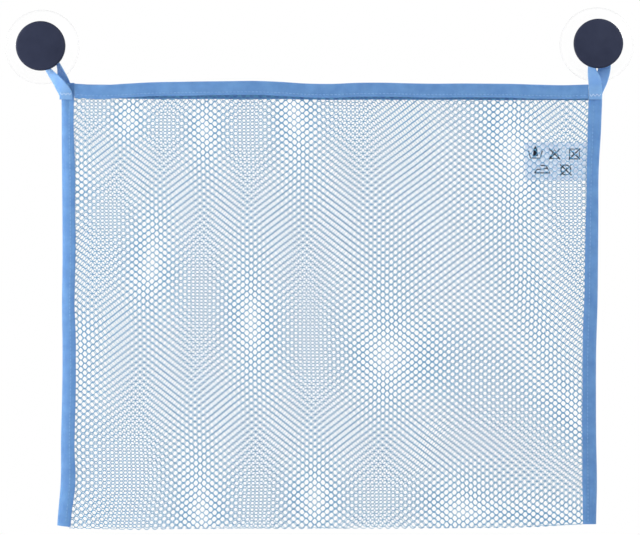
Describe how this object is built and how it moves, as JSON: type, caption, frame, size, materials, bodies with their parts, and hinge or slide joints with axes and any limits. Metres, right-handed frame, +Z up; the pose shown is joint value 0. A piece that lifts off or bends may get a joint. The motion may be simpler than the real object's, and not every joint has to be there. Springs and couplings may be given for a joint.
{
  "type": "bath toy organizer",
  "caption": "Flat mesh net pouch with taped edges that holds bath toys, hung by tape loops from clear suction cups with round knob caps; the mouth opens forward.",
  "frame": {"origin": "on the wall plane, at the middle of the pouch and at the height where the suction cups are pressed on", "axes": "+X to the right along the rim, +Y into the wall, +Z up"},
  "size_m": [0.5257, 0.0305, 0.4335],
  "materials": {
    "tape": "woven binding tape, light blue",
    "loop_tape": "woven tape, light blue",
    "net": "knitted hexagonal mesh, pale blue",
    "thread": "sewing thread, pale blue",
    "clear_plastic": "clear soft plastic, glossy",
    "navy_plastic": "moulded, matte dark navy",
    "label_film": "thin pale film"
  },
  "bodies": {
    "bag": {"back_net": "net", "bottom_fold": "net", "back_rim_binding": "tape", "back_rim_thread": "thread", "care_label": "label_film", "left_side_binding": "tape", "left_side_needle_thread": "thread", "left_side_bobbin_thread": "thread", "left_loop_front_end": "loop_tape", "left_loop_back_end": "loop_tape", "left_loop_needle_thread": "thread", "left_loop_bobbin_thread": "thread", "right_side_binding": "tape", "right_side_needle_thread": "thread", "right_side_bobbin_thread": "thread", "right_loop_front_end": "loop_tape", "right_loop_back_end": "loop_tape", "right_loop_needle_thread": "thread", "right_loop_bobbin_thread": "thread"},
    "front_panel": {"front_net": "net", "front_rim_binding": "tape", "front_rim_thread": "thread"},
    "left_loop": {"left_hanging_loop": "loop_tape"},
    "left_cup": {"left_suction_cup": "clear_plastic", "left_cap": "navy_plastic"},
    "right_loop": {"right_hanging_loop": "loop_tape"},
    "right_cup": {"right_suction_cup": "clear_plastic", "right_cap": "navy_plastic"}
  },
  "joints": [
    {"name": "mouth_opening", "type": "hinge", "parent": "bag", "child": "front_panel", "pos_m": [0, -0.016, -0.40025], "axis": [1, 0, 0], "range_deg": [0, 12], "stiffness_Nm_per_rad": 0.15},
    {"name": "left_loop_swing", "type": "hinge", "parent": "bag", "child": "left_loop", "pos_m": [-0.21788, -0.016, -0.0305], "axis": [0, 1, 0], "range_deg": [-25, 45]},
    {"name": "left_cup_turn", "type": "hinge", "parent": "left_loop", "child": "left_cup", "pos_m": [-0.24019, -0.016, -0.00099], "axis": [0, 1, 0], "continuous": true},
    {"name": "right_loop_swing", "type": "hinge", "parent": "bag", "child": "right_loop", "pos_m": [0.22062, -0.016, -0.0305], "axis": [0, 1, 0], "range_deg": [-25, 45]},
    {"name": "right_cup_turn", "type": "hinge", "parent": "right_loop", "child": "right_cup", "pos_m": [0.22354, -0.016, 0.00097], "axis": [0, 1, 0], "continuous": true}
  ]
}
